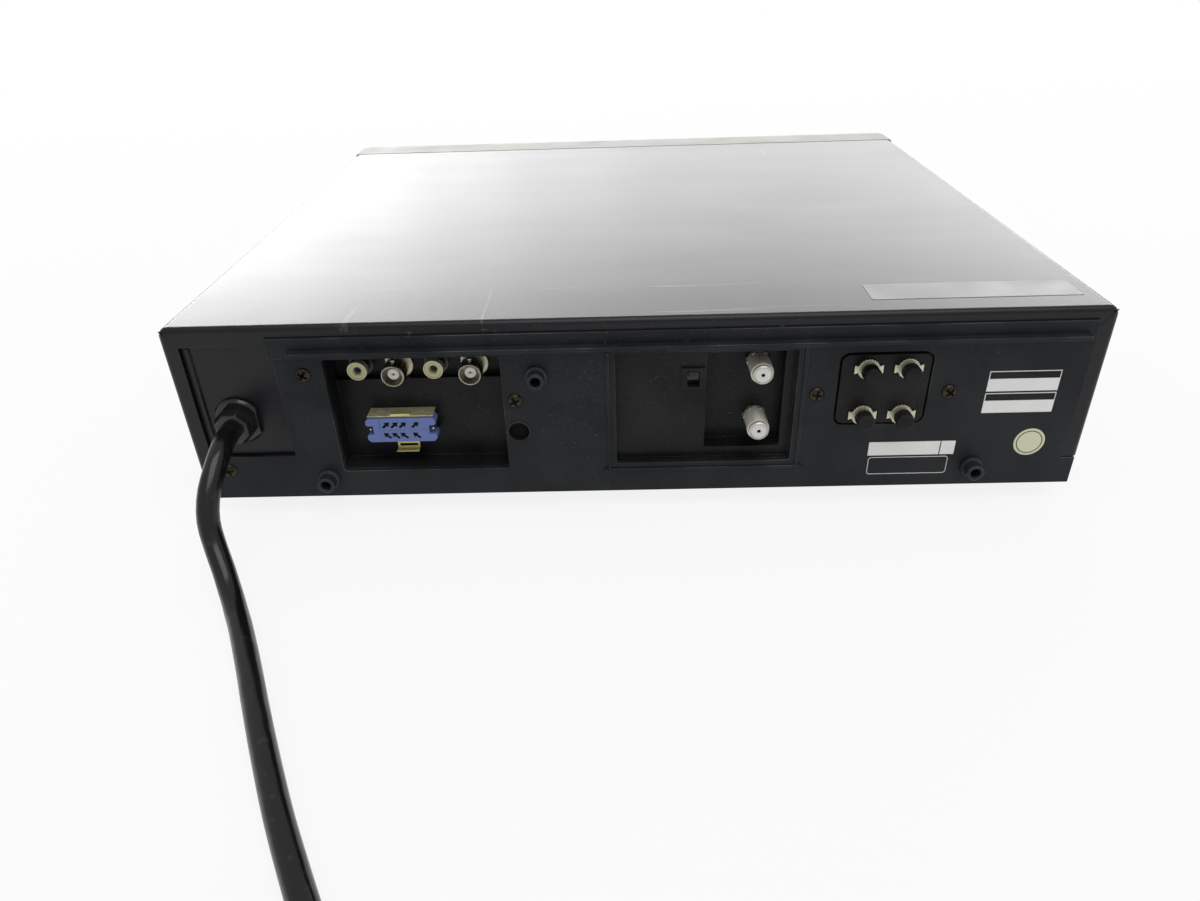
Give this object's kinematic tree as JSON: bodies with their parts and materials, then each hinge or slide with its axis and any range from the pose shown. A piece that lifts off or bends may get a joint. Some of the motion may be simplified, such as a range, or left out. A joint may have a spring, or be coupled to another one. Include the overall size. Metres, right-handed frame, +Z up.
{
  "type": "video cassette recorder",
  "caption": "Mid-size front-loading video cassette recorder with steel cover, silver front, rear jack bays, working flaps, buttons, carriage and drum, and mains cord.",
  "frame": {"origin": "on the floor, under the middle of the machine's body, the free cord not counted", "axes": "+X towards the mains cord's side, +Y out of the rear panel, +Z up; the front panel faces -Y"},
  "size_m": [0.3843, 0.6642, 0.089],
  "materials": {
    "cover_paint": "satin black paint on steel sheet",
    "chassis_plastic": "matt black moulding",
    "rear_panel_plastic": "fine-grained black moulding",
    "bay_plastic": "smooth black moulding",
    "gloss_black": "glossy black moulding",
    "knob_black": "ribbed black moulding",
    "foot_rubber": "matt black rubber",
    "cord_jacket": "satin black cord jacket",
    "blade_brass": "bright contact blade",
    "phono_yellow": "yellow insulator ring",
    "nickel": "nickel plate",
    "washer_nickel": "dull nickel plate",
    "connector_blue": "blue moulded block",
    "latch_steel": "passivated spring steel",
    "zinc_steel": "zinc-plated sheet",
    "drum_alloy": "fine-turned alloy",
    "reel_plastic": "dark moulding",
    "board_brown": "brown circuit board",
    "core_steel": "varnished core",
    "front_silver": "silver painted moulding",
    "button_silver": "silver painted moulding",
    "door_grey": "dark grey moulding",
    "smoked_window": "smoked acrylic"
  },
  "bodies": {
    "chassis": {"top_cover": "cover_paint", "bottom_chassis": "chassis_plastic", "front_left_foot": "foot_rubber", "front_right_foot": "foot_rubber", "rear_left_foot": "foot_rubber", "rear_right_foot": "foot_rubber", "rear_panel": "rear_panel_plastic", "power_inlet_plate": "cover_paint", "cord_gland": "gloss_black", "power_cord": "cord_jacket", "power_cord_coil": "cord_jacket", "power_plug": "cord_jacket", "plug_blade_1": "blade_brass", "plug_blade_2": "blade_brass", "jack_panel": "bay_plastic", "phono_jack_1": "phono_yellow", "phono_jack_2": "phono_yellow", "bayonet_jack_1": "nickel", "bayonet_jack_2": "nickel", "monitor_connector": "connector_blue", "connector_latch": "latch_steel", "aerial_panel": "bay_plastic", "upper_aerial_jack": "nickel", "lower_aerial_jack": "nickel", "aerial_converter": "zinc_steel", "terminal_plate": "bay_plastic", "front_panel": "front_silver", "display_window": "smoked_window", "deck_plate": "zinc_steel", "drum_base": "drum_alloy", "carriage_frame": "zinc_steel", "main_board": "board_brown", "power_transformer": "core_steel"},
    "cassette_flap": {"cassette_door": "door_grey"},
    "control_flap": {"control_door": "front_silver"},
    "tracking_control": {"tracking_knob": "knob_black"},
    "power_key": {"power_button": "button_silver"},
    "eject_key": {"eject_button": "button_silver"},
    "rewind_key": {"rewind_button": "button_silver"},
    "play_key": {"play_button": "button_silver"},
    "forward_key": {"forward_button": "button_silver"},
    "stop_key": {"stop_button": "button_silver"},
    "pause_key": {"pause_button": "button_silver"},
    "record_key": {"record_button": "button_silver"},
    "switch_slider": {"channel_switch": "gloss_black"},
    "washer_1": {"terminal_washer_1": "washer_nickel"},
    "washer_2": {"terminal_washer_2": "washer_nickel"},
    "washer_3": {"terminal_washer_3": "washer_nickel"},
    "washer_4": {"terminal_washer_4": "washer_nickel"},
    "screw_1": {"thumb_screw_1": "knob_black"},
    "screw_2": {"thumb_screw_2": "knob_black"},
    "screw_3": {"thumb_screw_3": "knob_black"},
    "screw_4": {"thumb_screw_4": "knob_black"},
    "rotating_drum": {"head_drum": "drum_alloy"},
    "capstan_shaft": {"capstan": "zinc_steel"},
    "pressure_roller": {"pinch_roller": "foot_rubber"},
    "supply_reel": {"supply_reel_table": "reel_plastic"},
    "takeup_reel": {"takeup_reel_table": "reel_plastic"},
    "carriage_yoke": {"carriage_drive": "zinc_steel"},
    "cassette_basket": {"cassette_holder": "zinc_steel"}
  },
  "joints": [
    {"name": "cassette_door_swing", "type": "hinge", "parent": "chassis", "child": "cassette_flap", "pos_m": [-0.055, -0.1698, 0.0806], "axis": [1, 0, 0], "range_deg": [0, 80], "stiffness_Nm_per_rad": 0.006, "springref_deg": -14.32},
    {"name": "control_door_drop", "type": "hinge", "parent": "chassis", "child": "control_flap", "pos_m": [0.103, -0.1722, 0.0179], "axis": [1, 0, 0], "range_deg": [0, 90]},
    {"name": "tracking_turn", "type": "hinge", "parent": "chassis", "child": "tracking_control", "pos_m": [0.052, -0.1601, 0.031], "axis": [0, 1, 0], "range_deg": [-135, 135]},
    {"name": "power_press", "type": "slide", "parent": "chassis", "child": "power_key", "axis": [0, 1, 0], "range_m": [0, 0.0014], "stiffness_N_per_m": 300},
    {"name": "eject_press", "type": "slide", "parent": "chassis", "child": "eject_key", "axis": [0, 1, 0], "range_m": [0, 0.0014], "stiffness_N_per_m": 300},
    {"name": "rewind_press", "type": "slide", "parent": "chassis", "child": "rewind_key", "axis": [0, 1, 0], "range_m": [0, 0.0014], "stiffness_N_per_m": 300},
    {"name": "play_press", "type": "slide", "parent": "chassis", "child": "play_key", "axis": [0, 1, 0], "range_m": [0, 0.0014], "stiffness_N_per_m": 300},
    {"name": "forward_press", "type": "slide", "parent": "chassis", "child": "forward_key", "axis": [0, 1, 0], "range_m": [0, 0.0014], "stiffness_N_per_m": 300},
    {"name": "stop_press", "type": "slide", "parent": "chassis", "child": "stop_key", "axis": [0, 1, 0], "range_m": [0, 0.0014], "stiffness_N_per_m": 300},
    {"name": "pause_press", "type": "slide", "parent": "chassis", "child": "pause_key", "axis": [0, 1, 0], "range_m": [0, 0.0014], "stiffness_N_per_m": 300},
    {"name": "record_press", "type": "slide", "parent": "chassis", "child": "record_key", "axis": [0, 1, 0], "range_m": [0, 0.0014], "stiffness_N_per_m": 300},
    {"name": "channel_slide", "type": "slide", "parent": "chassis", "child": "switch_slider", "axis": [0, 0, -1], "range_m": [0, 0.0034]},
    {"name": "washer_1_lift", "type": "slide", "parent": "chassis", "child": "washer_1", "axis": [0, 1, 0], "range_m": [0, 0.0028]},
    {"name": "washer_2_lift", "type": "slide", "parent": "chassis", "child": "washer_2", "axis": [0, 1, 0], "range_m": [0, 0.0028]},
    {"name": "washer_3_lift", "type": "slide", "parent": "chassis", "child": "washer_3", "axis": [0, 1, 0], "range_m": [0, 0.0028]},
    {"name": "washer_4_lift", "type": "slide", "parent": "chassis", "child": "washer_4", "axis": [0, 1, 0], "range_m": [0, 0.0028]},
    {"name": "screw_1_turn", "type": "hinge", "parent": "washer_1", "child": "screw_1", "pos_m": [-0.09496, 0.1679, 0.065], "axis": [0, 1, 0], "range_deg": [0, 1440]},
    {"name": "screw_2_turn", "type": "hinge", "parent": "washer_2", "child": "screw_2", "pos_m": [-0.11096, 0.1679, 0.065], "axis": [0, 1, 0], "range_deg": [0, 1440]},
    {"name": "screw_3_turn", "type": "hinge", "parent": "washer_3", "child": "screw_3", "pos_m": [-0.09496, 0.1679, 0.044], "axis": [0, 1, 0], "range_deg": [0, 1440]},
    {"name": "screw_4_turn", "type": "hinge", "parent": "washer_4", "child": "screw_4", "pos_m": [-0.11096, 0.1679, 0.044], "axis": [0, 1, 0], "range_deg": [0, 1440]},
    {"name": "drum_spin", "type": "hinge", "parent": "chassis", "child": "rotating_drum", "pos_m": [-0.055, 0.06269, 0.05583], "axis": [0, -0.0872, 0.9962], "continuous": true},
    {"name": "capstan_spin", "type": "hinge", "parent": "chassis", "child": "capstan_shaft", "pos_m": [0.007, 0.0382, 0.022], "axis": [0, 0, 1], "continuous": true},
    {"name": "pinch_spin", "type": "hinge", "parent": "chassis", "child": "pressure_roller", "pos_m": [-0.008, 0.0502, 0.042], "axis": [0, 0, 1], "continuous": true},
    {"name": "supply_spin", "type": "hinge", "parent": "chassis", "child": "supply_reel", "pos_m": [-0.1012, -0.0308, 0.0339], "axis": [0, 0, 1], "continuous": true},
    {"name": "takeup_spin", "type": "hinge", "parent": "chassis", "child": "takeup_reel", "pos_m": [-0.0088, -0.0308, 0.0339], "axis": [0, 0, 1], "continuous": true},
    {"name": "carriage_draw", "type": "slide", "parent": "chassis", "child": "carriage_yoke", "axis": [0, 1, 0], "range_m": [0, 0.062]},
    {"name": "cassette_lower", "type": "slide", "parent": "carriage_yoke", "child": "cassette_basket", "axis": [0, 0, -1], "range_m": [0, 0.018]}
  ],
  "couplings": [
    {"joint": "screw_1_turn", "follows": "washer_1_lift", "rad_per_m": 8976},
    {"joint": "screw_2_turn", "follows": "washer_2_lift", "rad_per_m": 8976},
    {"joint": "screw_3_turn", "follows": "washer_3_lift", "rad_per_m": 8976},
    {"joint": "screw_4_turn", "follows": "washer_4_lift", "rad_per_m": 8976}
  ]
}
